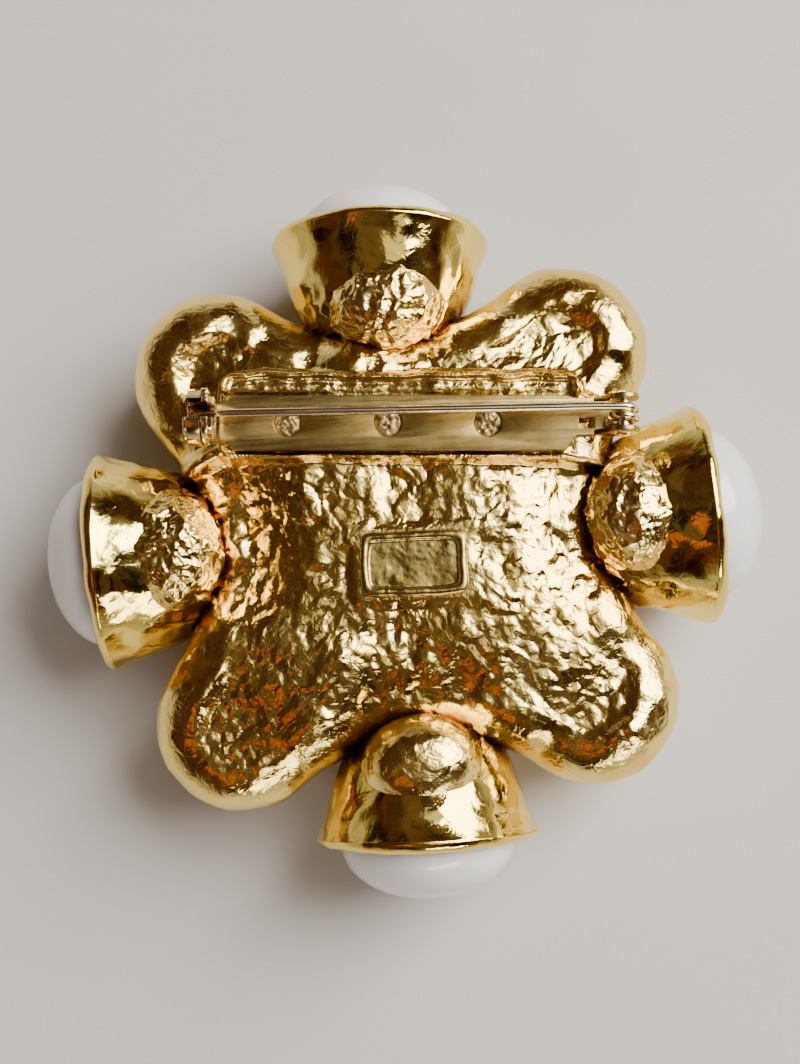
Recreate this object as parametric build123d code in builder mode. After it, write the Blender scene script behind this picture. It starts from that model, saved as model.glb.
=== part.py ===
from build123d import *

import os
from math import cos, radians, sin

os.makedirs("parts", exist_ok=True)

# A quatrefoil costume brooch lying face down, so +Z is its back. The origin is on the surface
# it lies on, below its centre, +Y runs to the cup above the pin, and lengths are millimetres.

# Body: two cast shells soldered along a seam
lobe_radius = 8.0
lobe_offset = 16.0  # each lobe's centre from both axes
notch_reach = 18.5  # brooch centre to the bottom of each notch
shell_wall = 1.2
seam_height = 8.5
back_height = 17.0
back_round = 3.6
front_clearance = 1.6  # the front dome's lowest point above the surface
front_dome_radius = 150.0
front_round = 3.0

# Cups: a flared cup with a rolled rim in each notch, seated on a domed joint boss
cup_standoff = 9.8  # bottom of each notch to the plane of its cup's rim
rim_roll = 0.95  # radius of the rolled edge
rim_ledge = 0.2  # between the pearl's seat and the rolled edge
cup_belly_radius = 8.2
cup_belly_depth = 6.6
cup_throat_radius = 6.2
cup_throat_depth = 10.0
boss_radius = 6.2
boss_standoff = 1.3  # bottom of each notch to its boss's centre
boss_height = 12.9
boss_flat_depth = 4.9  # rim plane to the boss's flat
peg_radius = 2.5
peg_height = 11.5
peg_length = 2.6  # how far the peg goes past the notch wall
cup_directions = {"east": 0.0, "north": 90.0, "west": 180.0, "south": 270.0}
cup_leans = {"east": 1.2, "north": -4.3, "west": 0.0, "south": -2.0}
cup_dips = {"east": 0.0, "north": 5.5, "west": 0.0, "south": 0.0}

# Pearl cabochons, each glued into its cup
pearl_radius = 8.0
pearl_dome = 5.2
pearl_girdle = 1.5
pearl_sink = 1.8  # flat back of the pearl below the rim plane
pearl_clearance = 0.1
cement_radius = 7.0
cement_thickness = 0.8

# Blank plate on the back
plate_length = 9.6
plate_width = 5.8
plate_thickness = 0.7
plate_border = 0.7
plate_recess = 0.3
plate_centre = (0.7, -3.1)
plate_skew = -2.0

# Finding: a three-hole bar, turned a little from the body's own axes
finding_centre = (0.5, 9.5)
finding_skew = -4.6
seat_end_margin = 0.45
seat_side_margin = 1.5
seat_shift = 0.8
seat_thickness = 0.6
seat_lip = 0.5
seat_border = 0.7
seat_front_border = 1.4
seat_round = 1.2
bar_length = 31.7
bar_width = 5.0
bar_thickness = 0.6
bar_crop = 1.1
bar_hole_radius = 1.25
bar_hole_pitch = 8.95
bar_hole_shift = -1.1
solder_recess = 0.15
fit_gap = 0.05

# Hinge: two ears on the bar, a rivet, and a stem whose wire is coiled round the rivet
ear_thickness = 0.5
ear_radius = 1.35
ear_foot = 2.45  # ear foot's start back from the rivet
hinge_standoff = 3.9  # bar's end to the rivet
rivet_radius = 0.5
rivet_head_radius = 0.85
rivet_head_height = 0.3
rivet_head_taper = 25
neck_overlap = 1.15  # floor between the ears, back from the rivet
punch_length = 1.5
punch_width = 0.9
wire_radius = 0.38
coil_clearance = 0.07
coil_turns = 1.5
coil_turn_gap = 0.03
coil_play = 0.455  # between the ears, beyond the coil's own width
coil_offset = 0.0925  # coil's middle from the middle of the ears
coil_lift = 0.22  # under the coil, above the bar
coil_tail = 1.6
stem_shift = 1.05
stem_stub = 2.55
point_length = 3.4
point_end_radius = 0.08

# Rotating safety catch: a fixed curl, and a slotted sleeve turning in it
catch_standoff = 2.65  # bar's end to the catch's outer face
curl_length = 1.2
curl_wall = 0.55
curl_mouth = 2.0
curl_foot_width = 2.4
sleeve_clearance = 0.05
sleeve_bore_radius = 1.0
sleeve_slot = 1.3
sleeve_nose = 1.0  # sleeve beyond the curl, on the bar's side
collar_thickness = 0.6
collar_inset = 0.1  # collar's edge inside the curl's, so that it clears the bar
lip_thickness = 0.25
lip_overhang = 0.25
end_play = 0.06
tab_reach = 3.1
tab_width = 0.9
tab_angle = 45.0
catch_shift = 0.4  # where the stem crosses the catch
tip_margin = 0.3
tongue_width = 3.6

# Places that follow from the sizes
rim_radius = pearl_radius + pearl_clearance + rim_ledge + 2 * rim_roll
rim_reach = notch_reach + cup_standoff
cup_axis_height = rim_radius
boss_reach = notch_reach + boss_standoff
boss_flat_reach = rim_reach - boss_flat_depth
notch_centre = (
    lobe_offset**2 + (notch_reach - lobe_offset) ** 2 - lobe_radius**2
) / (2 * (lobe_radius - notch_reach + lobe_offset)) + notch_reach
seat_top = back_height + seat_thickness
seat_length = bar_length + 2 * seat_end_margin
seat_width = bar_width + 2 * seat_side_margin
rivet_reach = bar_length / 2 + hinge_standoff
coil_radius = rivet_radius + coil_clearance + wire_radius
coil_pitch = 2 * wire_radius + coil_turn_gap
coil_run = coil_turns * coil_pitch
ear_gap = coil_run + 2 * wire_radius + coil_play
ear_shift = stem_shift - coil_run / 2 + coil_offset
stem_height = bar_thickness + coil_lift + 2 * coil_radius + wire_radius
catch_start = bar_length / 2 + catch_standoff
curl_outer_radius = stem_height - bar_thickness
finding = Plane(
    origin=(*finding_centre, seat_top),
    x_dir=(cos(radians(finding_skew)), sin(radians(finding_skew)), 0),
    z_dir=(0, 0, 1),
)


def quatrefoil(inset):
    """The body's outline moved inward: four round lobes joined by hollow notches."""
    lobe = Vector(lobe_offset, lobe_offset)
    notch = Vector(notch_centre, 0)
    bow = (notch - lobe).normalized() * (lobe_radius - inset)
    notch_floor = Vector(notch_reach - inset, 0)
    notch_end = lobe + bow
    lobe_tip = lobe + lobe.normalized() * (lobe_radius - inset)
    lobe_end = Vector(notch_end.Y, notch_end.X)
    notch_start = Vector(notch_end.X, -notch_end.Y)
    with BuildSketch(mode=Mode.PRIVATE) as outline:
        with BuildLine():
            for quarter in range(4):
                turned = [
                    point.rotate(Axis.Z, 90 * quarter)
                    for point in (notch_start, notch_floor, notch_end, lobe_tip, lobe_end)
                ]
                ThreePointArc(*turned[:3])
                ThreePointArc(*turned[2:])
        make_face()
    return outline.sketch


def back_half(inset):
    """The cushion's back half above the seam, moved inward by a wall."""
    with BuildPart(mode=Mode.PRIVATE) as half:
        with BuildSketch(Plane.XY.offset(seam_height)):
            add(quatrefoil(inset))
        extrude(amount=back_height - inset - seam_height)
        fillet(half.edges().group_by(Axis.Z)[-1], back_round - inset)
    return half.part


def front_half(inset):
    """The cushion's domed front half below the seam, moved inward by a wall."""
    with BuildPart(mode=Mode.PRIVATE) as half:
        with BuildSketch(Plane.XY.offset(seam_height)):
            add(quatrefoil(inset))
        extrude(amount=front_clearance - seam_height)
        with Locations((0, 0, front_clearance + front_dome_radius)):
            Sphere(front_dome_radius - inset, mode=Mode.INTERSECT)
        face = half.faces().sort_by(Axis.Z)[0]
        fillet(face.edges(), front_round - inset)
    return half.part


back_envelope = back_half(0)
front_envelope = front_half(0)


def radial_plane(direction, reach, height, lean=0.0, dip=0.0):
    """A plane facing outward at a cup, its x level and its y up, or tipped down by a dip."""
    outward = Vector(1, 0, 0).rotate(Axis.Z, direction)
    facing = Vector(1, 0, 0).rotate(Axis.Z, direction + lean)
    origin = outward * reach + Vector(0, 0, height)
    upright = Plane(origin=origin, x_dir=facing.rotate(Axis.Z, 90), z_dir=facing)
    return upright.rotated((dip, 0, 0))


def across_bar(u, v=0.0, w=0.0):
    """A plane square to the bar, its x across the bar and its y up."""
    origin = finding.from_local_coords(Vector(u, v, w))
    return Plane(origin=origin, x_dir=finding.y_dir, z_dir=finding.x_dir)


def beside_bar(v, u=0.0, w=0.0):
    """A plane along the bar, its x along the bar, its y up and its normal across."""
    origin = finding.from_local_coords(Vector(u, v, w))
    return Plane(origin=origin, x_dir=finding.x_dir, z_dir=finding.y_dir * -1)


def rod(start, end, radius, end_radius=None):
    """A round bar between two points of the finding, tapered where an end radius is given."""
    first = finding.from_local_coords(Vector(*start))
    last = finding.from_local_coords(Vector(*end))
    run = last - first
    with BuildPart(mode=Mode.PRIVATE) as bar:
        with BuildSketch(Plane(origin=first, z_dir=run)):
            Circle(radius)
        with BuildSketch(Plane(origin=last, z_dir=run)):
            Circle(end_radius or radius)
        loft()
    return bar.part


def finish(piece, name):
    """Name a finished piece and write it."""
    piece.part.label = name
    export_step(piece.part, f"parts/{name}.step")


# Raised seat for the bar, before the bar's own recess is cut
with BuildPart() as seat:
    with BuildSketch(finding.offset(-seat_thickness)):
        with Locations((0, seat_shift)):
            RectangleRounded(seat_length, seat_width, seat_round)
    extrude(amount=seat_thickness + seat_lip)
seat_block = seat.part

# Back shell, with its four sockets and the seat
with BuildPart() as back_shell:
    add(back_envelope)
    add(back_half(shell_wall), mode=Mode.SUBTRACT)
    for direction in cup_directions.values():
        with BuildSketch(radial_plane(direction, 0, peg_height)):
            Circle(peg_radius + fit_gap)
        extrude(amount=boss_reach, mode=Mode.SUBTRACT)
    add(seat_block)
    with BuildSketch(finding):
        with Locations((0, seat_shift + (seat_front_border - seat_border) / 2)):
            Rectangle(seat_length - 2 * seat_border, seat_width - seat_border - seat_front_border)
        Rectangle(2 * seat_length, bar_width + 2 * fit_gap)
    extrude(amount=seat_lip, mode=Mode.SUBTRACT)
finish(back_shell, "back_shell")

# Front shell
with BuildPart() as front_shell:
    add(front_envelope)
    add(front_half(shell_wall), mode=Mode.SUBTRACT)
finish(front_shell, "front_shell")

# The four cups, each with its joint boss, its pearl and the cement behind it
for side, direction in cup_directions.items():
    lean, dip = cup_leans[side], cup_dips[side]
    rim_plane = radial_plane(direction, rim_reach, cup_axis_height, lean, dip)
    flow = Plane(origin=rim_plane.origin, x_dir=rim_plane.y_dir, z_dir=rim_plane.x_dir)
    boss_plane = radial_plane(direction, boss_reach, boss_height)

    # Domed boss, flat behind the cup's floor, with a peg that enters the shell
    with BuildPart() as cup_boss:
        with Locations(boss_plane.origin):
            Sphere(boss_radius)
        with BuildSketch(radial_plane(direction, boss_flat_reach, boss_height)):
            Circle(2 * boss_radius)
        extrude(amount=boss_radius, mode=Mode.SUBTRACT)
        add(back_envelope, mode=Mode.SUBTRACT)
        add(front_envelope, mode=Mode.SUBTRACT)
        add(seat_block, mode=Mode.SUBTRACT)
        with BuildSketch(radial_plane(direction, notch_reach - peg_length, peg_height)):
            Circle(peg_radius)
        extrude(amount=boss_reach - notch_reach + peg_length)
    finish(cup_boss, f"cup_boss_{side}")

    # Flared cup, turned about its own axis, open at the rim for the pearl
    with BuildPart() as cup:
        with BuildSketch(flow):
            with BuildLine():
                lip_in = (rim_radius - 2 * rim_roll, -rim_roll)
                lip_top = (rim_radius - rim_roll, 0)
                lip_out = (rim_radius, -rim_roll)
                throat = (cup_throat_radius, -cup_throat_depth)
                ThreePointArc(lip_in, lip_top, lip_out)
                Spline(lip_out, (cup_belly_radius, -cup_belly_depth), throat)
                Polyline(throat, (0, -cup_throat_depth), (0, -rim_roll), lip_in)
            make_face()
        revolve(axis=Axis(rim_plane.origin, rim_plane.z_dir))
        with BuildSketch(rim_plane.offset(-pearl_sink)):
            Circle(pearl_radius + pearl_clearance)
        extrude(amount=pearl_sink, mode=Mode.SUBTRACT)
        with BuildSketch(rim_plane.offset(-pearl_sink - cement_thickness)):
            Circle(cement_radius)
        extrude(amount=cement_thickness, mode=Mode.SUBTRACT)
        add(cup_boss.part, mode=Mode.SUBTRACT)
        add(back_envelope, mode=Mode.SUBTRACT)
        add(front_envelope, mode=Mode.SUBTRACT)
    finish(cup, f"cup_{side}")

    # Cement disc between the cup's floor and the pearl's flat back
    with BuildPart() as pearl_cement:
        with BuildSketch(rim_plane.offset(-pearl_sink - cement_thickness)):
            Circle(cement_radius)
        extrude(amount=cement_thickness)
    finish(pearl_cement, f"pearl_cement_{side}")

    # Domed cabochon
    with BuildPart() as pearl:
        with BuildSketch(flow):
            with BuildLine():
                girdle = -pearl_sink + pearl_girdle
                Line((0, -pearl_sink), (pearl_radius, -pearl_sink))
                Line((pearl_radius, -pearl_sink), (pearl_radius, girdle))
                crown = (0, girdle + pearl_dome)
                Spline((pearl_radius, girdle), crown, tangents=((0, 1), (-1, 0)))
                Line(crown, (0, -pearl_sink))
            make_face()
        revolve(axis=Axis(rim_plane.origin, rim_plane.z_dir))
    finish(pearl, f"pearl_{side}")

# Blank plate with a raised border
mark_place = Plane(
    origin=(*plate_centre, back_height),
    x_dir=(cos(radians(plate_skew)), sin(radians(plate_skew)), 0),
    z_dir=(0, 0, 1),
)
with BuildPart() as mark_plate:
    with BuildSketch(mark_place):
        Rectangle(plate_length, plate_width)
    extrude(amount=plate_thickness)
    with BuildSketch(mark_place.offset(plate_thickness)):
        Rectangle(plate_length - 2 * plate_border, plate_width - 2 * plate_border)
    extrude(amount=-plate_recess, mode=Mode.SUBTRACT)
finish(mark_plate, "mark_plate")

# Bar, with its hinge ears at one end and a tongue under the catch at the other
hole_places = [(bar_hole_shift + step * bar_hole_pitch, 0) for step in (-1, 0, 1)]
rivet_height = stem_height - coil_radius
ear_faces = [ear_shift - ear_gap / 2 - ear_thickness, ear_shift + ear_gap / 2]
neck_width = ear_gap + 2 * ear_thickness
with BuildPart() as pin_bar:
    with BuildSketch(finding) as bar_outline:
        Rectangle(bar_length, bar_width)
        chamfer(bar_outline.vertices(), bar_crop)
        with Locations((rivet_reach - neck_overlap, ear_shift)):
            Rectangle(
                rivet_reach - neck_overlap - bar_length / 2 + bar_crop,
                neck_width,
                align=(Align.MAX, Align.CENTER),
            )
        with Locations((-catch_start, 0)):
            Rectangle(
                catch_start - bar_length / 2 + bar_crop,
                tongue_width,
                align=(Align.MIN, Align.CENTER),
            )
        with Locations((bar_length / 2 + punch_length / 2, 0)):
            Rectangle(punch_length, punch_width, mode=Mode.SUBTRACT)
        with Locations(*hole_places):
            Circle(bar_hole_radius, mode=Mode.SUBTRACT)
    extrude(amount=bar_thickness)
    for ear_face in ear_faces:
        with BuildSketch(beside_bar(ear_face, rivet_reach)) as ear:
            with BuildLine():
                Line((-ear_foot, 0), (-ear_foot, bar_thickness))
                Line((-ear_foot, bar_thickness), (-ear_radius, rivet_height))
                ThreePointArc(
                    (-ear_radius, rivet_height),
                    (0, rivet_height + ear_radius),
                    (ear_radius, rivet_height),
                )
                Line((ear_radius, rivet_height), (0, 0))
                Line((0, 0), (-ear_foot, 0))
            make_face()
            with Locations((0, rivet_height)):
                Circle(rivet_radius, mode=Mode.SUBTRACT)
        extrude(amount=-ear_thickness)
finish(pin_bar, "pin_bar")

# Solder showing in the bar's three holes
with BuildPart() as bar_solder:
    with BuildSketch(finding):
        with Locations(*hole_places):
            Circle(bar_hole_radius)
    extrude(amount=bar_thickness - solder_recess)
finish(bar_solder, "bar_solder")

# Rivet through both ears, with a head outside each
with BuildPart() as hinge_rivet:
    with BuildSketch(beside_bar(ear_faces[0], rivet_reach, rivet_height)):
        Circle(rivet_radius)
    extrude(amount=-neck_width)
    for head_face, outward in ((ear_faces[0], 1), (ear_faces[0] + neck_width, -1)):
        with BuildSketch(beside_bar(head_face, rivet_reach, rivet_height)):
            Circle(rivet_head_radius)
        extrude(amount=outward * rivet_head_height, taper=rivet_head_taper)
finish(hinge_rivet, "hinge_rivet")

# Stem: one wire, coiled round the rivet, bent a little towards the catch and ground to a point
tail_shift = stem_shift - coil_run
bend_reach = rivet_reach - stem_stub
sleeve_end = -catch_start + curl_length + sleeve_nose
point_tip = -catch_start + tip_margin
drift = (stem_shift - catch_shift) / (bend_reach - sleeve_end)
point_base = point_tip + point_length
coil_axis = Plane(
    origin=finding.from_local_coords(Vector(rivet_reach, stem_shift, rivet_height)),
    x_dir=finding.z_dir,
    z_dir=finding.y_dir * -1,
)
upright_coil = Helix(coil_pitch, coil_run, coil_radius, lefthand=True)
coil_line = coil_axis.location * upright_coil


def stem_point(u):
    """The stem's centre at a distance along the bar, past its bend."""
    return (u, stem_shift - drift * (bend_reach - u), stem_height)


with BuildPart() as pin_stem:
    with BuildSketch(Plane(origin=coil_line @ 0, z_dir=coil_line % 0)):
        Circle(wire_radius)
    sweep(path=coil_line, is_frenet=True)
    coil_top = (rivet_reach, stem_shift, stem_height)
    coil_bottom = (rivet_reach, tail_shift, rivet_height - coil_radius)
    tail_tip = (rivet_reach - coil_tail, tail_shift, rivet_height - coil_radius)
    bend = (bend_reach, stem_shift, stem_height)
    add(rod(coil_bottom, tail_tip, wire_radius))
    add(rod(coil_top, bend, wire_radius))
    add(rod(bend, stem_point(point_base), wire_radius))
    add(rod(stem_point(point_base), stem_point(point_tip), wire_radius, point_end_radius))
    for corner in (coil_bottom, coil_top, bend):
        with Locations(finding.from_local_coords(Vector(*corner))):
            Sphere(wire_radius)
finish(pin_stem, "pin_stem")

# Fixed curl of the catch, standing on the bar's tongue
curl_bore = curl_outer_radius - curl_wall
with BuildPart() as catch_curl:
    with BuildSketch(across_bar(-catch_start, 0, stem_height)):
        Circle(curl_outer_radius)
        with Locations((0, bar_thickness - stem_height)):
            Rectangle(
                curl_foot_width, curl_outer_radius, align=(Align.CENTER, Align.MIN)
            )
        Circle(curl_bore, mode=Mode.SUBTRACT)
        with Locations((catch_shift, 0)):
            Rectangle(
                curl_mouth,
                2 * curl_outer_radius,
                align=(Align.CENTER, Align.MIN),
                mode=Mode.SUBTRACT,
            )
    extrude(amount=curl_length)
finish(catch_curl, "catch_curl")

# Slotted sleeve that turns in the curl, with a collar, an end lip and a thumb tab
sleeve_radius = curl_bore - sleeve_clearance
collar_face = -catch_start + curl_length + end_play
with BuildPart() as catch_sleeve:
    with BuildSketch(across_bar(-catch_start - end_play, 0, stem_height)):
        Circle(sleeve_radius)
    extrude(amount=sleeve_end + catch_start + end_play)
    with BuildSketch(across_bar(-catch_start - end_play, 0, stem_height)):
        Circle(sleeve_radius + lip_overhang)
    extrude(amount=-lip_thickness)
    with BuildSketch(across_bar(collar_face, 0, stem_height)):
        with Locations(Location((0, 0, 0), (0, 0, tab_angle))):
            SlotOverall(2 * tab_reach, tab_width)
        with Locations(Location((0, 0, 0), (0, 0, tab_angle))):
            Rectangle(
                2 * tab_reach,
                2 * tab_reach,
                align=(Align.MAX, Align.CENTER),
                mode=Mode.SUBTRACT,
            )
        Circle(curl_outer_radius - collar_inset)
    extrude(amount=collar_thickness)
    with BuildSketch(across_bar(-catch_start - curl_length, 0, stem_height)):
        Circle(sleeve_bore_radius)
        with Locations((catch_shift, 0)):
            Rectangle(sleeve_slot, 2 * tab_reach, align=(Align.CENTER, Align.MIN))
    extrude(amount=catch_start, mode=Mode.SUBTRACT)
finish(catch_sleeve, "catch_sleeve")
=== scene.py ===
"""A quatrefoil costume brooch lying face down: hammered gilt body, pearl cups and a bar pin."""

import math

import bmesh
import bpy
import numpy as np
from mathutils import Matrix, Vector


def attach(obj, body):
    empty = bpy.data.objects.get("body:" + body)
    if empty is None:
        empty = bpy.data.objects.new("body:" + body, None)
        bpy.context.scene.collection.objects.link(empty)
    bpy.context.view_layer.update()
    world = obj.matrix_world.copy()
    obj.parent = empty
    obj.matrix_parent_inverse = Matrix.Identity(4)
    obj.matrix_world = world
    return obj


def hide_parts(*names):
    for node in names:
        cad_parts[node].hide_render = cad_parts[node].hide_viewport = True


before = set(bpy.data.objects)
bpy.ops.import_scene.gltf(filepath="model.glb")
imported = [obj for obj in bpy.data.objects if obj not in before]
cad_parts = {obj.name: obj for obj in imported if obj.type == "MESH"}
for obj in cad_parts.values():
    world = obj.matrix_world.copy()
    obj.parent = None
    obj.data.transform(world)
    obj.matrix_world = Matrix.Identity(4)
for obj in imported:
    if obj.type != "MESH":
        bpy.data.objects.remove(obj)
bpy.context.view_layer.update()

MM = 0.001
TURN = 2 * math.pi

# ---------------------------------------------------------------- sizes (mm) and angles (degrees)

LOBE_RADIUS = 8.0
LOBE_OFFSET = 16.0
NOTCH_REACH = 18.5
SEAM_HEIGHT = 8.5
BACK_HEIGHT = 17.0
BACK_ROUND = 4.3
BACK_SKIN = 0.25
BACK_TUCK = 0.55
BACK_STEPS = 900
DISH_DEPTH = 1.4
DISH_START = 13.5
DISH_END = 24.0
FRONT_LOW = 1.7
FRONT_ROUND = 3.2
FRONT_DOME_RADIUS = 150.0
FRONT_TUCK = 0.5
FRONT_STEPS = 480
FRONT_SWELL = 0.08
SEAM_GAP = 0.02
CUP_HEIGHT = 10.2
RIM_RADIUS = 10.2
RIM_REACH = 28.3
RIM_ROLL = 0.95
SEAT_RADIUS = 8.1
PEARL_SINK = 1.8
PEARL_RADIUS = 8.0
PEARL_DOME = 5.2
PEARL_GIRDLE = 1.5
BOSS_REACH = 20.9
BOSS_HEIGHT = 12.9
BOSS_HALF_WIDTH = 5.6
BOSS_HALF_DEPTH = 4.6
BOSS_RISE = 6.7
BOSS_SKIRT = 2.5
BOSS_BULGE = 0.72
BOSS_SWELL = 0.25
SIDES = {"east": 0.0, "north": 90.0, "west": 180.0, "south": 270.0}
LEANS = {"east": 1.2, "north": -4.3, "west": 0.0, "south": -2.0}
DIPS = {"east": 0.0, "north": 5.5, "west": 0.0, "south": 0.0}

PLATE_CENTRE = (0.7, -3.1)
PLATE_SKEW = -2.0
PLATE_SIZE = (9.6, 5.8)
PLATE_BASE = 17.0
PLATE_SQUARENESS = 9.0
PLATE_STEPS = 360

FINDING_CENTRE = (0.5, 9.5)
FINDING_SKEW = -4.6
SEAT_TOP = 17.6
SEAT_SIZE = (32.6, 8.0)
SEAT_SHIFT = 0.8
SEAT_LIP = 0.5
SEAT_CORNER = 1.3
SEAT_SKIN = 0.3
BAR_BED = 0.12
BAR_LENGTH = 31.7
BAR_WIDTH = 5.0
BAR_THICKNESS = 0.6
BAR_CROP = 1.1
TONGUE_HALF = 1.8
TONGUE_CROP = 0.5
SLOT_START = 15.95
SLOT_END = 17.3
SLOT_HALF = 0.45
HOLE_RADIUS = 1.25
HOLE_PITCH = 8.95
HOLE_SHIFT = -1.1
EAR_GAP = 2.4
EAR_THICKNESS = 0.5
EAR_SHIFT = 0.55
EAR_RADIUS = 1.35
EAR_FOOT = 2.45
RIVET_REACH = 19.75
RIVET_RADIUS = 0.5
RIVET_HEAD = 0.85
NECK_OVERLAP = 1.15
WIRE_RADIUS = 0.38
COIL_RADIUS = 0.95
COIL_TURNS = 1.5
COIL_PITCH = 0.79
COIL_TAIL = 1.6
STEM_SHIFT = 1.05
STEM_STUB = 2.55
STEM_HEIGHT = 3.1
STEM_TIP = 0.3
POINT_LENGTH = 3.4
CATCH_START = 18.5
CATCH_SHIFT = 0.4
CURL_LENGTH = 1.2
CURL_OUTER = 2.5
CURL_BORE = 1.95
CURL_MOUTH = 2.0
CURL_FOOT_HALF = 1.2
CURL_FOOT_RADIUS = 2.3
SLEEVE_RADIUS = 1.9
SLEEVE_BORE = 1.0
SLEEVE_SLOT = 1.3
SLEEVE_NOSE = 1.0
COLLAR_RADIUS = 2.4
COLLAR_THICKNESS = 0.6
LIP_RADIUS = 2.15
LIP_THICKNESS = 0.25
END_PLAY = 0.06
TAB_REACH = 3.1
TAB_WIDTH = 0.9
TAB_ANGLE = 45.0
FLOOR_HALF = 1500

NOTCH_RADIUS = (LOBE_OFFSET**2 + (NOTCH_REACH - LOBE_OFFSET) ** 2 - LOBE_RADIUS**2) / (
    2 * (LOBE_RADIUS - NOTCH_REACH + LOBE_OFFSET)
)
NOTCH_CENTRE = NOTCH_REACH + NOTCH_RADIUS
RIVET_HEIGHT = STEM_HEIGHT - COIL_RADIUS
EARS_LOW = EAR_SHIFT - EAR_GAP / 2 - EAR_THICKNESS
EARS_HIGH = EAR_SHIFT + EAR_GAP / 2 + EAR_THICKNESS

# ---------------------------------------------------------------- noise
#
# Each noise is called with the size of its lumps in millimetres and a seed. Where it is used, the
# number in front is its depth in millimetres, and the number taken off centres it.


def hashed(cell, seed):
    """A repeatable number from 0 to 1 for each whole-number cell."""
    n = cell[..., 0] * 374761393 + cell[..., 1] * 668265263 + cell[..., 2] * 1440670441
    n = (n + seed * 1013904223) & 0xFFFFFFFF
    n = ((n ^ (n >> 13)) * 1274126177) & 0xFFFFFFFF
    n = ((n ^ (n >> 16)) * 2246822519) & 0xFFFFFFFF
    return ((n ^ (n >> 15)) & 0xFFFFFF) / 0xFFFFFF


def value_noise(points, size, seed):
    """Smooth noise from -1 to 1 whose lumps are about a size across."""
    scaled = points / size
    cell = np.floor(scaled).astype(np.int64)
    part = scaled - cell
    part = part * part * part * (part * (part * 6 - 15) + 10)
    total = np.zeros(points.shape[:-1])
    for corner in np.ndindex(2, 2, 2):
        corner = np.array(corner)
        weight = np.prod(np.where(corner == 1, part, 1 - part), axis=-1)
        total += weight * hashed(cell + corner, seed)
    return total * 2 - 1


def fractal(points, size, seed, octaves=3, gain=0.5):
    """Noise with finer noise added on it."""
    return sum(
        gain**k * value_noise(points, size / 2**k, seed + 17 * k) for k in range(octaves)
    )


def ridged(points, size, seed, octaves=2):
    """Noise with sharp creases, from 0 in a crease to 1."""
    total = sum(
        0.5**k * np.abs(value_noise(points, size / 2**k, seed + 31 * k)) for k in range(octaves)
    )
    return total / sum(0.5**k for k in range(octaves))


def dents(points, size, seed):
    """Hammer marks: 0 at the middle of each dent, rising to about 1 at the ridges between."""
    scaled = points / size
    cell = np.floor(scaled).astype(np.int64)
    nearest = np.full(points.shape[:-1], 9.0)
    for step in np.ndindex(3, 3, 3):
        other = cell + np.array(step) - 1
        middle = other + np.stack([hashed(other, seed + k) for k in range(3)], axis=-1)
        nearest = np.minimum(nearest, np.sum((middle - scaled) ** 2, axis=-1))
    return np.minimum(nearest, 1.2)


def smooth_step(value, low, high):
    """0 below low, 1 above high, and smooth between."""
    part = np.clip((value - low) / (high - low), 0, 1)
    return part * part * (3 - 2 * part)


# ---------------------------------------------------------------- mesh helpers


def linked(name, data):
    """An object for a mesh, lamp or camera, in the scene."""
    obj = bpy.data.objects.new(name, data)
    bpy.context.scene.collection.objects.link(obj)
    return obj


def finish_mesh(name, verts, faces, sharp=None):
    """An object from points in millimetres; edges bent past the sharp angle stay crisp."""
    mesh = bpy.data.meshes.new(name)
    mesh.from_pydata((np.asarray(verts) * MM).tolist(), [], faces)
    bm = bmesh.new()
    bm.from_mesh(mesh)
    bmesh.ops.recalc_face_normals(bm, faces=bm.faces)
    bm.to_mesh(mesh)
    bm.free()
    mesh.shade_smooth()
    if sharp is not None:
        mesh.set_sharp_from_angle(angle=math.radians(sharp))
    return linked(name, mesh)


def ringed(name, rings, sharp=None):
    """A closed skin over rings of equal length, its two ends closed by fans."""
    rings = np.asarray(rings)
    count, around = rings.shape[:2]
    verts = list(rings.reshape(-1, 3))
    verts += [rings[0].mean(axis=0), rings[-1].mean(axis=0)]
    faces = []
    for i in range(count - 1):
        for j in range(around):
            k = (j + 1) % around
            faces.append(
                (i * around + j, i * around + k, (i + 1) * around + k, (i + 1) * around + j)
            )
    last = (count - 1) * around
    for j in range(around):
        k = (j + 1) % around
        faces.append((count * around, k, j))
        faces.append((count * around + 1, last + j, last + k))
    return finish_mesh(name, verts, faces, sharp)


def joined(name, parts):
    """Several objects made into one mesh."""
    bm = bmesh.new()
    for part in parts:
        bm.from_mesh(part.data)
        bpy.data.objects.remove(part)
    mesh = bpy.data.meshes.new(name)
    bm.to_mesh(mesh)
    bm.free()
    return linked(name, mesh)


def arc(centre, radius, start, end, steps):
    """Points along an arc, its angles in degrees."""
    turns = [math.radians(a) for a in np.linspace(start, end, steps)]
    return [(centre[0] + radius * math.cos(a), centre[1] + radius * math.sin(a)) for a in turns]


def place_matrix(origin, x_dir, y_dir):
    """A frame in millimetres from its origin and two of its directions."""
    x = Vector(x_dir).normalized()
    y = Vector(y_dir).normalized()
    z = x.cross(y)
    rows = [(x[i], y[i], z[i], origin[i]) for i in range(3)]
    return Matrix((*rows, (0, 0, 0, 1)))


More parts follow.
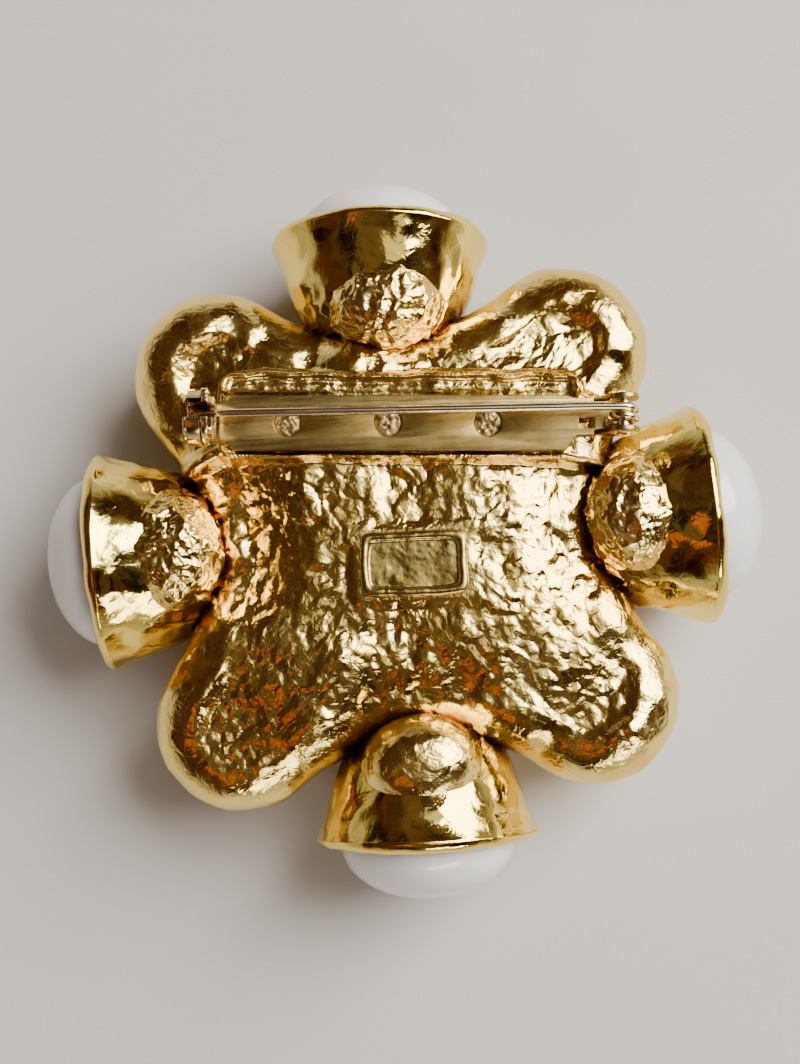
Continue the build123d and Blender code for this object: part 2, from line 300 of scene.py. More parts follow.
def plate(name, outlines, thickness, bevel, matrix, sharp=40):
    """A flat plate with softened edges: outlines after the first are holes, z from 0 up."""
    curve = bpy.data.curves.new(name, "CURVE")
    curve.dimensions = "2D"
    curve.fill_mode = "BOTH"
    curve.extrude = thickness / 2 - bevel
    curve.bevel_depth = bevel
    curve.bevel_resolution = 2
    curve.offset = -bevel
    for outline in outlines:
        spline = curve.splines.new("POLY")
        spline.points.add(len(outline) - 1)
        for point, (x, y) in zip(spline.points, outline):
            point.co = (x, y, 0, 1)
        spline.use_cyclic_u = True
    holder = bpy.data.objects.new(name, curve)
    mesh = bpy.data.meshes.new_from_object(holder)
    bpy.data.objects.remove(holder)
    bpy.data.curves.remove(curve)
    bm = bmesh.new()
    bm.from_mesh(mesh)
    bmesh.ops.remove_doubles(bm, verts=bm.verts, dist=0.002)
    bm.transform(Matrix.Scale(MM, 4) @ matrix @ Matrix.Translation((0, 0, thickness / 2)))
    bmesh.ops.recalc_face_normals(bm, faces=bm.faces)
    bm.to_mesh(mesh)
    bm.free()
    mesh.shade_smooth()
    mesh.set_sharp_from_angle(angle=math.radians(sharp))
    mesh.name = name
    return linked(name, mesh)


# ---------------------------------------------------------------- body outline


def outline(angles):
    """The body's edge at each polar angle, and the direction straight out of it."""
    quarter = np.round(angles / (math.pi / 2))
    a = angles - quarter * math.pi / 2
    lobe_distance = LOBE_OFFSET * math.sqrt(2)
    bow = np.array([NOTCH_CENTRE - LOBE_OFFSET, -LOBE_OFFSET])
    tangent = np.array([LOBE_OFFSET, LOBE_OFFSET]) + bow / np.linalg.norm(bow) * LOBE_RADIUS
    reach_notch = NOTCH_CENTRE * np.cos(a) - np.sqrt(
        np.maximum(NOTCH_RADIUS**2 - (NOTCH_CENTRE * np.sin(a)) ** 2, 0)
    )
    off = math.pi / 4 - np.abs(a)
    reach_lobe = lobe_distance * np.cos(off) + np.sqrt(
        np.maximum(LOBE_RADIUS**2 - (lobe_distance * np.sin(off)) ** 2, 0)
    )
    in_notch = np.abs(a) < math.atan2(tangent[1], tangent[0])
    reach = np.where(in_notch, reach_notch, reach_lobe)
    local = np.stack([reach * np.cos(a), reach * np.sin(a)], axis=-1)
    lobe = np.stack([np.full_like(a, LOBE_OFFSET), np.sign(a) * LOBE_OFFSET], axis=-1)
    notch = np.array([NOTCH_CENTRE, 0.0])
    normal = np.where(in_notch[:, None], notch - local, local - lobe)
    normal /= np.linalg.norm(normal, axis=-1, keepdims=True)
    turn = quarter * math.pi / 2
    cos, sin = np.cos(turn), np.sin(turn)

    def turned(v):
        return np.stack([v[:, 0] * cos - v[:, 1] * sin, v[:, 0] * sin + v[:, 1] * cos], axis=-1)

    return turned(local), turned(normal)


def edge_distance(points):
    """How far each point of the plan is inside the body's edge."""
    x, y = np.abs(points[..., 0]), np.abs(points[..., 1])
    big, small = np.maximum(x, y), np.minimum(x, y)
    to_lobe = np.hypot(big - LOBE_OFFSET, small - LOBE_OFFSET)
    facing = np.arctan2(small - LOBE_OFFSET, big - LOBE_OFFSET)
    limit = math.atan2(-LOBE_OFFSET, NOTCH_CENTRE - LOBE_OFFSET)
    in_lobe = (facing > limit) & (facing < math.pi / 2 - limit)
    to_notch = np.hypot(big - NOTCH_CENTRE, small) - NOTCH_RADIUS
    return np.where(in_lobe, LOBE_RADIUS - to_lobe, to_notch)


def plan_frame(points, centre, skew):
    """Plan coordinates along and across a piece that is turned on the back."""
    c, s = math.cos(math.radians(skew)), math.sin(math.radians(skew))
    x, y = points[..., 0] - centre[0], points[..., 1] - centre[1]
    return x * c + y * s, -x * s + y * c


def rounded_box(x, y, half_x, half_y, radius):
    """Distance outside a rounded rectangle, negative inside."""
    dx, dy = np.abs(x) - half_x + radius, np.abs(y) - half_y + radius
    outside = np.hypot(np.maximum(dx, 0), np.maximum(dy, 0))
    return outside + np.minimum(np.maximum(dx, dy), 0) - radius


# ---------------------------------------------------------------- body


# Where the back starts to fall towards each cup, where the fall ends, and its depth
SLOPES = {
    "east": (9.0, 17.0, 1.9),
    "north": (12.0, 18.0, 1.0),
    "west": (8.0, 16.0, 2.4),
    "south": (9.5, 17.5, 1.7),
}


def fall(points, side):
    """How far down its slope to a cup each point is, from 0 on the plateau to 1."""
    a = math.radians(SIDES[side])
    start, end = SLOPES[side][:2]
    along = points[..., 0] * math.cos(a) + points[..., 1] * math.sin(a)
    aside = np.abs(-points[..., 0] * math.sin(a) + points[..., 1] * math.cos(a))
    return smooth_step(along, start, end) * (1 - smooth_step(aside, 3.0, 9.5))


def back_relief(points, inside):
    """Height added to the smooth back: crinkled casting inside a calmer, dented rim."""
    warp = np.stack([fractal(points, 3.1, 5 + k, 2) for k in range(3)], axis=-1)
    bent = points + 0.7 * warp
    crinkle = 0.15 * (0.35 - dents(bent, 1.2, 11)) + 0.13 * (0.4 - ridged(bent, 1.4, 3, 2))
    crinkle += 0.13 * fractal(points, 2.2, 41, 3) + 0.30 * fractal(points, 6.5, 77, 2)
    steep = np.maximum(fall(points, "west"), fall(points, "east"))
    lip = np.exp(-(((inside - 3.4) / 1.0) ** 2))
    crumple = 0.40 * (dents(bent, 2.5, 29) - 0.4) + 0.30 * (0.4 - ridged(bent, 2.2, 37, 2))
    crinkle += crumple * np.clip(steep + 0.45 * lip, 0, 1)
    drawn = points * [1.0, 0.3, 1.0]
    crinkle += 0.20 * fractal(drawn, 1.5, 59, 2) * fall(points, "south")
    calm = 0.28 * (dents(points + 0.6 * warp, 3.2, 23) - 0.35) + 0.03 * fractal(points, 1.3, 8, 2)
    share = smooth_step(inside + 0.8 * fractal(points, 4.5, 93, 2) + 2.0 * steep, 2.7, 3.9)
    return calm * (1 - share) + crinkle * share


def back_height(points):
    """Height of the back before its relief, how much relief it takes, and depth inside the edge."""
    inside = edge_distance(points)
    reach = np.hypot(points[..., 0], points[..., 1])
    height = np.full(reach.shape, BACK_HEIGHT - BACK_SKIN)
    wander = 0.9 * fractal(points * [1.0, 1.0, 0.0], 4.5, 93, 2)
    rim = 1 - smooth_step(inside + wander, 3.4, 5.4)
    height -= DISH_DEPTH * smooth_step(reach, DISH_START, DISH_END) * (1 - 0.7 * rim)
    for side, slope in SLOPES.items():
        height -= slope[2] * fall(points, side)
    u, v = plan_frame(points, FINDING_CENTRE, FINDING_SKEW)
    half_u, half_v = SEAT_SIZE[0] / 2, SEAT_SIZE[1] / 2
    seat = rounded_box(u, v - SEAT_SHIFT, half_u, half_v, SEAT_CORNER)
    wander = 0.16 * value_noise(np.stack([u, v, 0 * u], axis=-1), 2.4, 91)
    on_seat = 1 - smooth_step(seat + wander, -0.25, 0.45)
    border = np.exp(-(((seat + wander + 0.35) / 0.34) ** 2))
    under_bar = 1 - smooth_step(np.abs(v), BAR_WIDTH / 2 + 0.05, BAR_WIDTH / 2 + 0.45)
    pool = np.exp(-(((v - BAR_WIDTH / 2 - 0.75) / 0.7) ** 2)) * on_seat
    height = height * (1 - on_seat) + (SEAT_TOP - SEAT_SKIN) * on_seat
    height += (SEAT_LIP + 0.25) * border * (1 - under_bar) + 0.25 * pool
    amount = 1 - 0.35 * on_seat - 0.35 * border * on_seat
    beneath = on_seat * under_bar
    height = height * (1 - beneath) + (SEAT_TOP - BAR_BED) * beneath
    amount *= 1 - beneath
    x, y = plan_frame(points, PLATE_CENTRE, PLATE_SKEW)
    pad = 1 - smooth_step(rounded_box(x, y, PLATE_SIZE[0] / 2, PLATE_SIZE[1] / 2, 0.6), 0.1, 1.3)
    height = height * (1 - pad) + (PLATE_BASE + 0.02) * pad
    amount *= 1 - 0.9 * pad
    return height, amount, inside


def body_back():
    """The cast back: crinkled face, rounded rim and side wall down to the seam."""
    around = BACK_STEPS
    edge, normal = outline(np.linspace(0, TURN, around, endpoint=False))
    rings, pushes, amounts, insides = [], [], [], []
    inner = edge - normal * BACK_ROUND
    for t in np.linspace(0.012, 1, 112) ** 0.85:
        plan = inner * t
        flat = np.column_stack([plan, np.zeros(around)])
        height, amount, inside = back_height(flat)
        rings.append(np.column_stack([plan, height]))
        pushes.append(np.tile([0.0, 0.0, 1.0], (around, 1)))
        amounts.append(amount)
        insides.append(inside)
    crest = rings[-1][:, 2]
    for phi in np.linspace(0, math.pi / 2, 20)[1:]:
        out = normal * math.sin(phi)
        plan = inner + out * BACK_ROUND
        drop = BACK_ROUND * (1 - math.cos(phi))
        rings.append(np.column_stack([plan, crest - drop]))
        pushes.append(np.column_stack([out, np.full(around, math.cos(phi))]))
        amounts.append(np.ones(around))
        insides.append(np.full(around, BACK_ROUND * (1 - math.sin(phi))))
    wall_top = rings[-1][:, 2]
    for t in np.linspace(0, 1, 16)[1:]:
        tuck = BACK_TUCK * max(t - 0.55, 0) ** 2 / 0.2
        plan = edge - normal * tuck
        rings.append(np.column_stack([plan, wall_top * (1 - t) + SEAM_HEIGHT * t]))
        pushes.append(np.column_stack([normal, np.zeros(around)]))
        amounts.append(np.full(around, 1 - 0.6 * smooth_step(t, 0.6, 1.0)))
        insides.append(np.zeros(around))
    rings = np.array(rings)
    relief = back_relief(rings, np.array(insides)) * np.array(amounts)
    rings = rings + np.array(pushes) * relief[..., None]
    rings[-1][:, 2] = SEAM_HEIGHT
    return ringed("hammered_back", rings)


def body_front():
    """The domed front below the seam, hammered with shallow dents."""
    around = FRONT_STEPS
    edge, normal = outline(np.linspace(0, TURN, around, endpoint=False))
    inner = edge - normal * FRONT_ROUND
    rings, pushes = [], []

    def dome(plan):
        reach = np.sum(plan**2, axis=-1)
        return FRONT_LOW + FRONT_DOME_RADIUS - np.sqrt(FRONT_DOME_RADIUS**2 - reach)

    for t in np.linspace(0.02, 1, 60):
        plan = inner * t
        rings.append(np.column_stack([plan, dome(plan)]))
        pushes.append(np.tile([0.0, 0.0, -1.0], (around, 1)))
    low = rings[-1][:, 2]
    for phi in np.linspace(0, math.pi / 2, 14)[1:]:
        out = normal * math.sin(phi)
        plan = inner + out * FRONT_ROUND
        rings.append(np.column_stack([plan, low + FRONT_ROUND * (1 - math.cos(phi))]))
        pushes.append(np.column_stack([out, np.full(around, -math.cos(phi))]))
    side = rings[-1][:, 2]
    for t in np.linspace(0, 1, 6)[1:]:
        tuck = FRONT_TUCK * max(t - 0.4, 0) ** 2 / 0.36
        height = side * (1 - t) + (SEAM_HEIGHT - SEAM_GAP) * t
        rings.append(np.column_stack([edge - normal * tuck, height]))
        pushes.append(np.column_stack([normal, np.zeros(around)]))
    rings = np.array(rings)
    relief = 0.2 * (dents(rings, 2.6, 61) - 0.45) + 0.04 * fractal(rings, 1.2, 9, 2)
    relief = np.minimum(relief, FRONT_SWELL)
    rings = rings + np.array(pushes) * relief[..., None]
    rings[-1][:, 2] = SEAM_HEIGHT - SEAM_GAP
    return ringed("hammered_front", rings)


# ---------------------------------------------------------------- cups, bosses and pearls


def cup_frame(side):
    """Rim centre, outward direction, sideways direction and up, for a cup."""
    base = math.radians(SIDES[side])
    facing = math.radians(SIDES[side] + LEANS[side])
    dip = math.radians(DIPS[side])
    centre = np.array([math.cos(base) * RIM_REACH, math.sin(base) * RIM_REACH, CUP_HEIGHT])
    level = np.array([math.cos(facing), math.sin(facing), 0.0])
    across = np.array([-math.sin(facing), math.cos(facing), 0.0])
    up = np.array([0.0, 0.0, 1.0])
    out = level * math.cos(dip) - up * math.sin(dip)
    return centre, out, across, up * math.cos(dip) + level * math.sin(dip)


def turned(side, profile, around):
    """Rings made by turning a profile of (radius, outward) points about a cup's axis."""
    centre, out, across, up = cup_frame(side)
    beta = np.linspace(0, TURN, around, endpoint=False)
    spoke = np.cos(beta)[:, None] * across + np.sin(beta)[:, None] * up
    profile = np.array(profile)
    rings = centre + profile[:, 1, None, None] * out + profile[:, 0, None, None] * spoke
    slope = np.gradient(profile, axis=0)
    slope /= np.maximum(np.linalg.norm(slope, axis=1, keepdims=True), 1e-9)
    push = -slope[:, 1, None, None] * spoke + slope[:, 0, None, None] * out
    return rings, push, beta


def cup_profile():
    """Points from the floor's middle, up the seat's wall, over the rolled rim and down the flank.

    The two numbers after them say where the roll and the flank start."""
    inner = RIM_RADIUS - 2 * RIM_ROLL
    floor = [(r, -PEARL_SINK - 0.05) for r in np.linspace(0.2, SEAT_RADIUS, 5)]
    wall = [(SEAT_RADIUS, s) for s in np.linspace(-PEARL_SINK, -RIM_ROLL - 0.2, 4)]
    roll = arc((inner + RIM_ROLL, -RIM_ROLL), RIM_ROLL, 180, 0, 17)
    ends = np.array([(RIM_RADIUS, -RIM_ROLL), (9.35, -2.4), (8.55, -7.3), (6.1, -10.4)])
    flank = []
    for t in np.linspace(0, 1, 72)[1:]:
        weights = ((1 - t) ** 3, 3 * t * (1 - t) ** 2, 3 * t * t * (1 - t), t**3)
        flank.append(tuple(np.array(weights) @ ends))
    return floor + wall + roll + flank, len(floor) + len(wall), len(floor + wall + roll)


# Depth of the broad dents down each flank, and how rough each throat and boss is
DENTING = {"north": 0.10, "east": 0.15, "south": 0.06, "west": 0.26}
ROUGHNESS = {"north": 1.0, "east": 0.9, "south": 0.25, "west": 1.15}


def cup(side, seed):
    """A flared cup, smooth at its rolled rim and dented by hand down its flank."""
    profile, roll_start, flank_start = cup_profile()
    around = 300
    rings, push, beta = turned(side, profile, around)
    row = np.arange(len(profile))[:, None]
    down = np.clip((row - flank_start) / (len(profile) - flank_start), 0, 1)
    shown = (row >= roll_start).astype(float)
    warp = np.stack([fractal(rings, 3.0, seed + k, 2) for k in range(3)], axis=-1)
    dent = dents(rings + 0.5 * warp, 3.4, seed + 5) - 0.4
    throat = smooth_step(down, 0.38, 0.8)
    fine = dents(rings + 0.6 * warp, 1.9, seed + 9) - 0.4
    relief = DENTING[side] * dent * smooth_step(down, 0.02, 0.25)
    relief += 0.34 * ROUGHNESS[side] * fine * throat
    relief += 0.09 * fractal(rings, 2.6, seed + 3, 2) * shown
    relief += 0.12 * np.sin(3 * beta + seed)[None, :] * shown * (1 - 0.6 * down)
    rings = rings + push * (relief * shown)[..., None]
    return ringed(f"gilt_cup_{side}", rings)


def boss(side, seed):
    """The hammered dome where a cup's throat meets the back."""
    base = math.radians(SIDES[side])
    out = np.array([math.cos(base), math.sin(base), 0.0])
    across = np.array([-math.sin(base), math.cos(base), 0.0])
    up = np.array([0.0, 0.0, 1.0])
    centre = out * BOSS_REACH + up * BOSS_HEIGHT
    beta = np.linspace(0, TURN, 200, endpoint=False)
    rings, push = [], []
    spoke = np.cos(beta)[:, None] * across * BOSS_HALF_WIDTH
    spoke = spoke + np.sin(beta)[:, None] * out * BOSS_HALF_DEPTH
    for phi in np.linspace(0.01, math.pi / 2, 72):
        level, rise = math.sin(phi) ** BOSS_BULGE, max(math.cos(phi), 0) ** BOSS_BULGE
        rings.append(centre + level * spoke + up * BOSS_RISE * rise)
        # Close to the dome's own normal, with about 5 mm for its half sizes and 6 mm for its rise
        facing = level**1.8 * spoke / 25 + up * rise**1.8 / 6
        push.append(facing / np.linalg.norm(facing, axis=1, keepdims=True))
    rings.append(rings[-1] - up * BOSS_SKIRT)
    push.append(push[-1])
    rings, push = np.array(rings), np.array(push)
    warp = np.stack([fractal(rings, 2.0, seed + k, 2) for k in range(3)], axis=-1)
    relief = 0.42 * (dents(rings + 0.5 * warp, 1.9, seed) - 0.45)
    relief += 0.26 * (0.4 - ridged(rings + 0.4 * warp, 1.5, seed + 7, 3))
    relief += 0.08 * fractal(rings, 0.7, seed + 2, 2)
    relief = np.minimum(relief * ROUGHNESS[side], BOSS_SWELL)
    return ringed(f"hammered_boss_{side}", rings + push * relief[..., None])


def pearl(side, seed):
    """A domed cabochon with a low girdle and a flat back."""
    back = -PEARL_SINK
    girdle = back + PEARL_GIRDLE
    profile = [(r, back) for r in np.linspace(0.1, PEARL_RADIUS - 0.25, 8)]
    profile += [(PEARL_RADIUS - 0.06, back + 0.12), (PEARL_RADIUS, back + 0.4)]
    profile += [
        (PEARL_RADIUS * math.cos(t), girdle + PEARL_DOME * math.sin(t))
        for t in np.linspace(0, math.pi / 2 - 0.01, 64)
    ]
    rings, push = turned(side, profile, 192)[:2]
    relief = 0.035 * fractal(rings, 6.0, seed, 2)
    return ringed(f"cabochon_{side}", rings + push * relief[..., None])


# ---------------------------------------------------------------- finding: the bar pin's parts

FINDING = place_matrix(
    (*FINDING_CENTRE, SEAT_TOP),
    (math.cos(math.radians(FINDING_SKEW)), math.sin(math.radians(FINDING_SKEW)), 0),
    (-math.sin(math.radians(FINDING_SKEW)), math.cos(math.radians(FINDING_SKEW)), 0),
)
END_ON = Matrix(((0, 0, 1, 0), (1, 0, 0, 0), (0, 1, 0, 0), (0, 0, 0, 1)))
SIDE_ON = Matrix(((1, 0, 0, 0), (0, 0, -1, 0), (0, 1, 0, 0), (0, 0, 0, 1)))


def on_finding(u, v, w, facing=Matrix()):
    """A frame on the finding; END_ON looks along the bar and SIDE_ON across it."""
    return FINDING @ Matrix.Translation((u, v, w)) @ facing


def hole_places():
    """Centres of the bar's three holes along its length."""
    return [HOLE_SHIFT + step * HOLE_PITCH for step in (-1, 0, 1)]


def bar():
    """The three-hole bar with cropped corners, a punched neck, hinge ears and catch tongue."""
    end, half, crop = BAR_LENGTH / 2, BAR_WIDTH / 2, BAR_CROP
    neck_end = RIVET_REACH - NECK_OVERLAP
    tongue, cut = TONGUE_HALF, TONGUE_CROP
    outer = [(end - crop, -half), (end - 0.1, EARS_LOW), (neck_end, EARS_LOW)]
    outer += [(neck_end, EARS_HIGH), (end - 0.15, EARS_HIGH), (end - crop, half)]
    outer += [(crop - end, half), (-end, tongue), (-CATCH_START + cut, tongue)]
    outer += [(-CATCH_START, tongue - cut), (-CATCH_START, cut - tongue)]
    outer += [(-CATCH_START + cut, -tongue), (-end, -tongue), (crop - end, -half)]
    holes = [arc((u, 0), HOLE_RADIUS, 0, 352.5, 48) for u in hole_places()]
    slot = [(SLOT_START, -SLOT_HALF), (SLOT_END, -SLOT_HALF)]
    slot += [(SLOT_END, SLOT_HALF), (SLOT_START, SLOT_HALF)]
    pieces = [plate("bar_flat", [outer, *holes, slot], BAR_THICKNESS, 0.09, on_finding(0, 0, 0))]
    for shift in (EAR_SHIFT - EAR_GAP / 2, EARS_HIGH):
        ear = [(-EAR_FOOT, 0.0), (0.0, 0.0)]
        ear += arc((0, RIVET_HEIGHT), EAR_RADIUS, -35, 180, 30)
        ear += [(-EAR_FOOT, BAR_THICKNESS + 0.15)]
        frame_here = on_finding(RIVET_REACH, shift, 0, SIDE_ON)
        pieces.append(plate("bar_ear", [ear], EAR_THICKNESS, 0.1, frame_here))
    return joined("stamped_bar", pieces)


def rivet():
    """The rivet through both ears, with a domed head outside each."""
    head = ((0.02, 0.3), (0.3, 0.28), (0.6, 0.19), (0.8, 0.06), (RIVET_HEAD, 0.0))
    profile = [(r, EARS_LOW - rise) for r, rise in head]
    profile.append((RIVET_RADIUS, EARS_LOW + 0.02))
    profile += [(r, EARS_LOW + EARS_HIGH - s) for r, s in reversed(profile)]
    beta = np.linspace(0, TURN, 48, endpoint=False)
    local = [[(r * math.cos(b), s, r * math.sin(b)) for b in beta] for r, s in profile]
    place = on_finding(RIVET_REACH, 0, RIVET_HEIGHT)
    rings = [[tuple(place @ Vector(p)) for p in ring] for ring in local]
    return ringed("domed_rivet", rings, sharp=50)


def tube(name, path, radii, around=28):
    """A round wire along a path, each ring turned as little as possible from the one before."""
    path = [Vector(p) for p in path]
    count = len(path)
    ways = [(path[min(i + 1, count - 1)] - path[max(i - 1, 0)]).normalized() for i in range(count)]
    side = ways[0].orthogonal().normalized()
    rings = []
    for i in range(count):
        side = (side - ways[i] * side.dot(ways[i])).normalized()
        lift = ways[i].cross(side)
        ring = []
        for b in np.linspace(0, TURN, around, endpoint=False):
            ring.append(tuple(path[i] + (side * math.cos(b) + lift * math.sin(b)) * radii[i]))
        rings.append(ring)
    return ringed(name, rings, sharp=60)


def stem():
    """One wire: a short tail, the coil round the rivet, the long stem and its ground point."""
    coil_length = COIL_TURNS * COIL_PITCH
    tail_shift = STEM_SHIFT - coil_length
    low = RIVET_HEIGHT - COIL_RADIUS
    path, radii = [], []
    for back, share in ((COIL_TAIL, 0.35), (COIL_TAIL - 0.06, 0.75), (COIL_TAIL - 0.16, 0.97)):
        path.append((RIVET_REACH - back, tail_shift, low))
        radii.append(WIRE_RADIUS * share)
    path.append((RIVET_REACH - 0.7, tail_shift, low))
    radii.append(WIRE_RADIUS)
    steps = int(COIL_TURNS * 40)
    for i in range(steps + 1):
        t = i / steps
        angle = -math.pi / 2 + t * COIL_TURNS * TURN
        u = RIVET_REACH + COIL_RADIUS * math.cos(angle)
        w = RIVET_HEIGHT + COIL_RADIUS * math.sin(angle)
        path.append((u, tail_shift + t * coil_length, w))
        radii.append(WIRE_RADIUS)
    bend = RIVET_REACH - STEM_STUB
    sleeve_end = -CATCH_START + CURL_LENGTH + SLEEVE_NOSE
    drift = (STEM_SHIFT - CATCH_SHIFT) / (bend - sleeve_end)
    tip = -CATCH_START + STEM_TIP
    base = tip + POINT_LENGTH
    for u in (RIVET_REACH - 0.8, bend + 0.5, bend, bend - 0.5):
        path.append((u, STEM_SHIFT - drift * max(bend - u, 0), STEM_HEIGHT))
        radii.append(WIRE_RADIUS)
    for u in np.linspace(bend - 3, base, 12):
        path.append((u, STEM_SHIFT - drift * (bend - u), STEM_HEIGHT))
        radii.append(WIRE_RADIUS)
    for t in np.linspace(0, 1, 14)[1:]:
        u = base - t * POINT_LENGTH
        path.append((u, STEM_SHIFT - drift * (bend - u), STEM_HEIGHT))
        radii.append(WIRE_RADIUS * (1 - 0.85 * t**1.5))
    path = [tuple(FINDING @ Vector(p)) for p in path]
    return tube("coiled_stem", path, radii)


def open_ring(outer, inner, mouth, shift, steps=56):
    """Outline of a ring seen end on, open at the top by a mouth shifted to one side."""
    outer_from = math.degrees(math.acos((shift + mouth / 2) / outer))
    outer_to = math.degrees(math.acos((shift - mouth / 2) / outer))
    inner_from = math.degrees(math.acos(min((shift + mouth / 2) / inner, 1)))
    inner_to = math.degrees(math.acos((shift - mouth / 2) / inner))
    ring = arc((0, 0), outer, outer_to, 360 + outer_from, steps)
    return ring + arc((0, 0), inner, 360 + inner_from, inner_to, steps)


def curl():
    """The fixed curl of the catch on its foot."""
    ring = open_ring(CURL_OUTER, CURL_BORE, CURL_MOUTH, CATCH_SHIFT)
    place = on_finding(-CATCH_START, 0, STEM_HEIGHT, END_ON)
    ground = BAR_THICKNESS - STEM_HEIGHT - 0.05
    foot = [(-CURL_FOOT_HALF, ground), (CURL_FOOT_HALF, ground)]
    foot += arc((0, 0), CURL_FOOT_RADIUS, -58.5, -121.5, 9)
    pieces = [plate("curl_ring", [ring], CURL_LENGTH, 0.1, place)]
    pieces.append(plate("curl_foot", [foot], CURL_LENGTH, 0.06, place))
    return joined("safety_curl", pieces)


def sleeve():
    """The slotted sleeve of the catch, with its end lip, collar and thumb tab."""
    start = -CATCH_START - END_PLAY
    end = -CATCH_START + CURL_LENGTH + SLEEVE_NOSE
    collar_at = -CATCH_START + CURL_LENGTH + END_PLAY
    barrel = open_ring(SLEEVE_RADIUS, SLEEVE_BORE, SLEEVE_SLOT, CATCH_SHIFT)
    lip = open_ring(LIP_RADIUS, SLEEVE_BORE, SLEEVE_SLOT, CATCH_SHIFT)
    from_angle = math.degrees(math.acos((CATCH_SHIFT + SLEEVE_SLOT / 2) / COLLAR_RADIUS))
    to_angle = math.degrees(math.acos((CATCH_SHIFT - SLEEVE_SLOT / 2) / COLLAR_RADIUS))
    inner_to = math.degrees(math.acos((CATCH_SHIFT - SLEEVE_SLOT / 2) / SLEEVE_BORE))
    half = math.degrees(math.asin(TAB_WIDTH / 2 / COLLAR_RADIUS))
    tab_end = TAB_REACH - TAB_WIDTH / 2
    way = math.radians(TAB_ANGLE)
    tab_middle = (tab_end * math.cos(way), tab_end * math.sin(way))
    collar = arc((0, 0), COLLAR_RADIUS, to_angle, 360 + TAB_ANGLE - half, 56)
    collar += arc(tab_middle, TAB_WIDTH / 2, TAB_ANGLE - 90, TAB_ANGLE + 90, 14)
    collar += arc((0, 0), COLLAR_RADIUS, TAB_ANGLE + half, from_angle, 4)
    collar += arc((0, 0), SLEEVE_BORE, 358, inner_to, 40)
    slices = (
        ("sleeve_barrel", barrel, end - start, 0.08, start),
        ("sleeve_lip", lip, LIP_THICKNESS, 0.07, start - LIP_THICKNESS),
        ("sleeve_collar", collar, COLLAR_THICKNESS, 0.12, collar_at),
    )
    pieces = [
        plate(name, [shape], thickness, bevel, on_finding(at, 0, STEM_HEIGHT, END_ON))
        for name, shape, thickness, bevel, at in slices
    ]
    return joined("turning_sleeve", pieces)


def solder():
    """Rough solder that wells up in the bar's three holes."""
    pieces = []
    beta = np.linspace(0, TURN, 48, endpoint=False)
    for index, u in enumerate(hole_places()):
        rings = []
        for t in np.linspace(0.03, 1, 16):
            r = HOLE_RADIUS * 0.985 * t
            height = np.full(len(beta), 0.4 - 0.16 * t**3)
            rings.append(np.column_stack([u + r * np.cos(beta), r * np.sin(beta), height]))
        rings.append(rings[-1] * [1, 1, 0] + [0, 0, 0.05])
        rings = np.array(rings)
        bump = 0.16 * fractal(rings, 0.8, 50 + index, 3)
        bump[-1] = 0
        rings[..., 2] = np.minimum(rings[..., 2] + bump, BAR_THICKNESS - 0.05)
        rings = [[tuple(FINDING @ Vector(p)) for p in ring] for ring in rings]
        pieces.append(ringed("solder_blob", rings))
    return joined("solder_plugs", pieces)


def blank_plate():
    """A raised plate with a soft border round a worn, blank field."""
    half_x, half_y = PLATE_SIZE[0] / 2, PLATE_SIZE[1] / 2
    c, s = math.cos(math.radians(PLATE_SKEW)), math.sin(math.radians(PLATE_SKEW))
    rings = []
    theta = np.linspace(0, TURN, PLATE_STEPS, endpoint=False)
    direction = np.stack([np.cos(theta), np.sin(theta)], axis=-1)
    power = PLATE_SQUARENESS
    share_x, share_y = np.abs(direction[:, 0] / half_x), np.abs(direction[:, 1] / half_y)
    unit = 1 / (share_x**power + share_y**power) ** (1 / power)
    edge = direction * unit[:, None]

    def ring(shrink, height):
        scale = np.array([(half_x - shrink) / half_x, (half_y - shrink) / half_y])
        plan = edge * scale
        return np.column_stack([plan, np.full(PLATE_STEPS, height)])

    for t in np.linspace(0.03, 1, 34):
        inner = ring(0.95, 0.4)
        rings.append(np.column_stack([inner[:, :2] * t, inner[:, 2]]))
    border = ((0.86, 0.43), (0.78, 0.52), (0.7, 0.62), (0.6, 0.68), (0.42, 0.7))
    border += ((0.24, 0.68), (0.1, 0.6), (0.02, 0.45), (0.0, 0.2), (0.0, -0.4))
    rings += [ring(shrink, height) for shrink, height in border]
    rings = np.array(rings)
    wear = 0.05 * fractal(rings, 1.6, 71, 3) + 0.05 * (0.4 - ridged(rings, 2.2, 19, 2))
    rings[..., 2] += wear
    uneven = [value_noise(rings, 2.2, seed) for seed in (33, 34)]
    rings[..., :2] += 0.1 * np.stack(uneven, axis=-1)
    world = rings.copy()
    world[..., 0] = PLATE_CENTRE[0] + rings[..., 0] * c - rings[..., 1] * s
    world[..., 1] = PLATE_CENTRE[1] + rings[..., 0] * s + rings[..., 1] * c
    world[..., 2] = PLATE_BASE + rings[..., 2]
    return ringed("blank_plate", world)


# ---------------------------------------------------------------- materials


def stretched(tree, source, low, high, from_low, from_high):
    """A node tree's value between two limits, stretched to run between two others."""
    node = tree.nodes.new("ShaderNodeMapRange")
    node.inputs["From Min"].default_value = from_low
    node.inputs["From Max"].default_value = from_high
    node.inputs["To Min"].default_value = low
    node.inputs["To Max"].default_value = high
    tree.links.new(source, node.inputs["Value"])
    return node.outputs["Result"]


